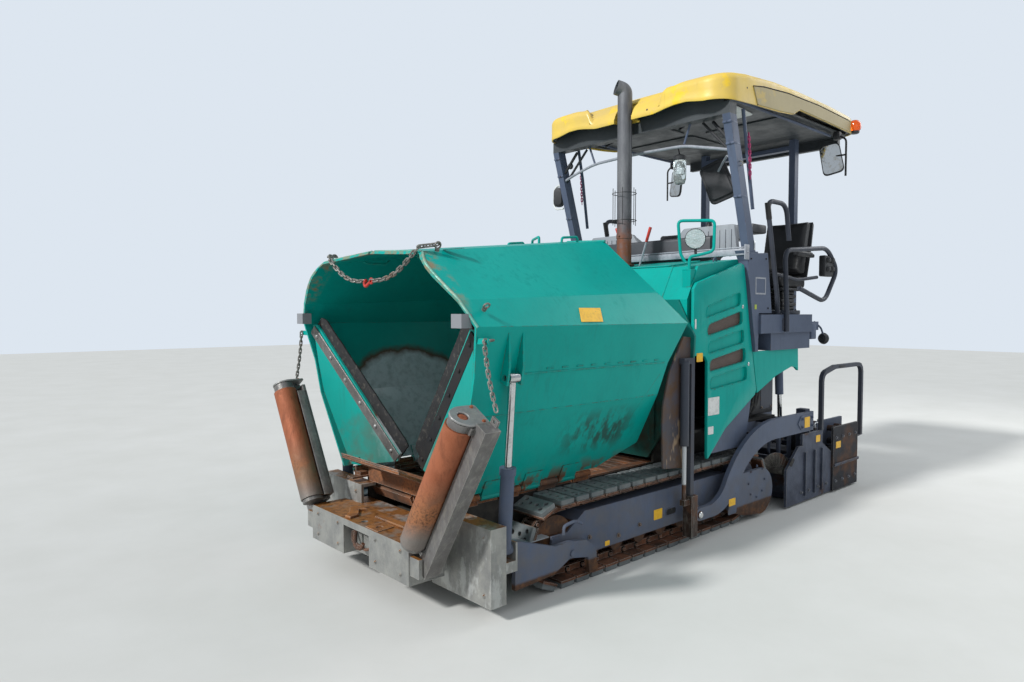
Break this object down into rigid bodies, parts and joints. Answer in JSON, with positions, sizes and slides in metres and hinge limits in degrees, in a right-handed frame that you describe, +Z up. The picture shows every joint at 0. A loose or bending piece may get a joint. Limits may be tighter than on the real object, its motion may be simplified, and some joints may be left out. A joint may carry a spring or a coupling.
{
  "type": "asphalt paver",
  "caption": "Compact tracked asphalt paver with folding hopper wings, folding push rollers, a canopy over the platform and a lifting screed with sliding extensions.",
  "frame": {"origin": "on the ground under the middle of the machine's box", "axes": "+X forward to the hopper, +Y to the machine's left, +Z up"},
  "size_m": [5.1, 2.3206, 3.54],
  "materials": {
    "green_paint": "satin",
    "grey_paint": "satin",
    "worn_steel": "worn",
    "rusty_steel": "rough",
    "chrome_rod": "polished",
    "black_rubber": "matte",
    "black_paint": "satin",
    "yellow_shell": "faded",
    "black_plastic": "matte",
    "seat_cover": "matte"
  },
  "bodies": {
    "chassis": {"chassis": "grey_paint", "hopper_floor": "rusty_steel", "conveyor_left": "worn_steel", "conveyor_right": "worn_steel", "hopper_rear_wall": "worn_steel", "push_beam": "worn_steel", "track_left": "black_rubber", "track_right": "black_rubber", "track_frame_left": "grey_paint", "track_frame_right": "grey_paint", "engine_block": "black_paint", "hood": "green_paint", "rear_panels": "green_paint", "side_columns": "grey_paint", "fuel_tank": "black_paint", "platform": "grey_paint", "console": "black_plastic", "seats": "seat_cover", "rails": "grey_paint", "exhaust_pipe": "black_paint", "work_lights": "black_plastic", "canopy_roof": "yellow_shell", "canopy_liner": "grey_paint", "canopy_posts": "grey_paint", "mirrors": "black_plastic", "levelling_rails": "grey_paint", "auger_carrier": "grey_paint"},
    "wing_left": {"hopper_wing_left": "green_paint", "apron_seal_left": "black_rubber", "hold_chain_left": "rusty_steel"},
    "wing_right": {"hopper_wing_right": "green_paint", "apron_seal_right": "black_rubber", "hold_chain_right": "rusty_steel"},
    "wing_barrel_left": {"wing_barrel_left": "grey_paint"},
    "wing_barrel_right": {"wing_barrel_right": "grey_paint"},
    "wing_rod_left": {"wing_rod_left": "chrome_rod"},
    "wing_rod_right": {"wing_rod_right": "chrome_rod"},
    "roller_carrier_left": {"roller_carrier_left": "worn_steel"},
    "roller_carrier_right": {"roller_carrier_right": "worn_steel"},
    "push_roller_left": {"push_roller_left": "rusty_steel"},
    "push_roller_right": {"push_roller_right": "rusty_steel"},
    "side_door_left": {"side_door_left": "green_paint"},
    "side_door_right": {"side_door_right": "green_paint"},
    "tow_points": {"tow_points": "rusty_steel"},
    "screed": {"tow_arms": "grey_paint", "screed_main": "grey_paint", "screed_lift_ears": "grey_paint", "screed_side_plates": "grey_paint", "screed_guides": "grey_paint", "screed_walkway": "grey_paint"},
    "screed_extension_left": {"screed_extension_left": "grey_paint"},
    "screed_extension_right": {"screed_extension_right": "grey_paint"},
    "auger_left": {"auger_left": "worn_steel"},
    "auger_right": {"auger_right": "worn_steel"},
    "lift_barrels": {"screed_lift_barrels": "grey_paint"},
    "lift_rods": {"screed_lift_rods": "chrome_rod"}
  },
  "joints": [
    {"name": "wing_left_fold", "type": "hinge", "parent": "chassis", "child": "wing_left", "pos_m": [1.6, 0.575, 0.575], "axis": [-1, 0, 0], "range_deg": [0, 55]},
    {"name": "wing_barrel_left_swing", "type": "hinge", "parent": "chassis", "child": "wing_barrel_left", "pos_m": [2.062, 0.85, 0.35], "axis": [-1, 0, 0], "range_deg": [0, 51.16]},
    {"name": "wing_rod_left_slide", "type": "slide", "parent": "wing_barrel_left", "child": "wing_rod_left", "axis": [0, 0.0735, 0.9973], "range_m": [-0.32478, 0]},
    {"name": "roller_carrier_left_fold", "type": "hinge", "parent": "chassis", "child": "roller_carrier_left", "pos_m": [2.4, 0.6, 0.29], "axis": [-1, 0, 0], "range_deg": [0, 59.2]},
    {"name": "push_roller_left_spin", "type": "hinge", "parent": "roller_carrier_left", "child": "push_roller_left", "pos_m": [2.475, 0.533, 0.32994], "axis": [0, 0.512, 0.859], "continuous": true},
    {"name": "side_door_left_swing", "type": "hinge", "parent": "chassis", "child": "side_door_left", "pos_m": [0.3, 0.856, 1.5], "axis": [0, 0, -1], "range_deg": [0, 85]},
    {"name": "wing_right_fold", "type": "hinge", "parent": "chassis", "child": "wing_right", "pos_m": [1.6, -0.575, 0.575], "axis": [1, 0, 0], "range_deg": [0, 55]},
    {"name": "wing_barrel_right_swing", "type": "hinge", "parent": "chassis", "child": "wing_barrel_right", "pos_m": [2.062, -0.85, 0.35], "axis": [1, 0, 0], "range_deg": [0, 51.16]},
    {"name": "wing_rod_right_slide", "type": "slide", "parent": "wing_barrel_right", "child": "wing_rod_right", "axis": [0, -0.0735, 0.9973], "range_m": [-0.32478, 0]},
    {"name": "roller_carrier_right_fold", "type": "hinge", "parent": "chassis", "child": "roller_carrier_right", "pos_m": [2.4, -0.6, 0.29], "axis": [1, 0, 0], "range_deg": [0, 59.2]},
    {"name": "push_roller_right_spin", "type": "hinge", "parent": "roller_carrier_right", "child": "push_roller_right", "pos_m": [2.475, -0.533, 0.32994], "axis": [0, -0.512, 0.859], "continuous": true},
    {"name": "side_door_right_swing", "type": "hinge", "parent": "chassis", "child": "side_door_right", "pos_m": [0.3, -0.856, 1.5], "axis": [0, 0, 1], "range_deg": [0, 85]},
    {"name": "levelling_slide", "type": "slide", "parent": "chassis", "child": "tow_points", "axis": [0, 0, 1], "range_m": [0, 0.2]},
    {"name": "screed_lift", "type": "hinge", "parent": "tow_points", "child": "screed", "pos_m": [0.26, 0, 0.206], "axis": [0, 1, 0], "range_deg": [0, 10]},
    {"name": "lift_barrels_swing", "type": "hinge", "parent": "chassis", "child": "lift_barrels", "pos_m": [-1.28, 0, 1.29], "axis": [0, -1, 0], "range_deg": [0, 11.17]},
    {"name": "lift_rods_slide", "type": "slide", "parent": "lift_barrels", "child": "lift_rods", "axis": [-0.075, 0, -0.9972], "range_m": [-0.26984, 0]},
    {"name": "screed_extension_left_slide", "type": "slide", "parent": "screed", "child": "screed_extension_left", "axis": [0, 1, 0], "range_m": [0, 0.8]},
    {"name": "auger_left_spin", "type": "hinge", "parent": "chassis", "child": "auger_left", "pos_m": [-1.09, 0.4, 0.3], "axis": [0, 1, 0], "continuous": true},
    {"name": "screed_extension_right_slide", "type": "slide", "parent": "screed", "child": "screed_extension_right", "axis": [0, -1, 0], "range_m": [0, 0.8]},
    {"name": "auger_right_spin", "type": "hinge", "parent": "chassis", "child": "auger_right", "pos_m": [-1.09, -0.4, 0.3], "axis": [0, 1, 0], "continuous": true}
  ],
  "couplings": [
    {"joint": "wing_barrel_left_swing", "follows": "wing_left_fold", "ratio": 0.92828},
    {"joint": "wing_rod_left_slide", "follows": "wing_left_fold", "m_per_rad": -0.3373},
    {"joint": "wing_barrel_right_swing", "follows": "wing_right_fold", "ratio": 0.92828},
    {"joint": "wing_rod_right_slide", "follows": "wing_right_fold", "m_per_rad": -0.3373},
    {"joint": "lift_barrels_swing", "follows": "screed_lift", "ratio": 1.1069},
    {"joint": "lift_rods_slide", "follows": "screed_lift", "m_per_rad": -1.5403}
  ]
}
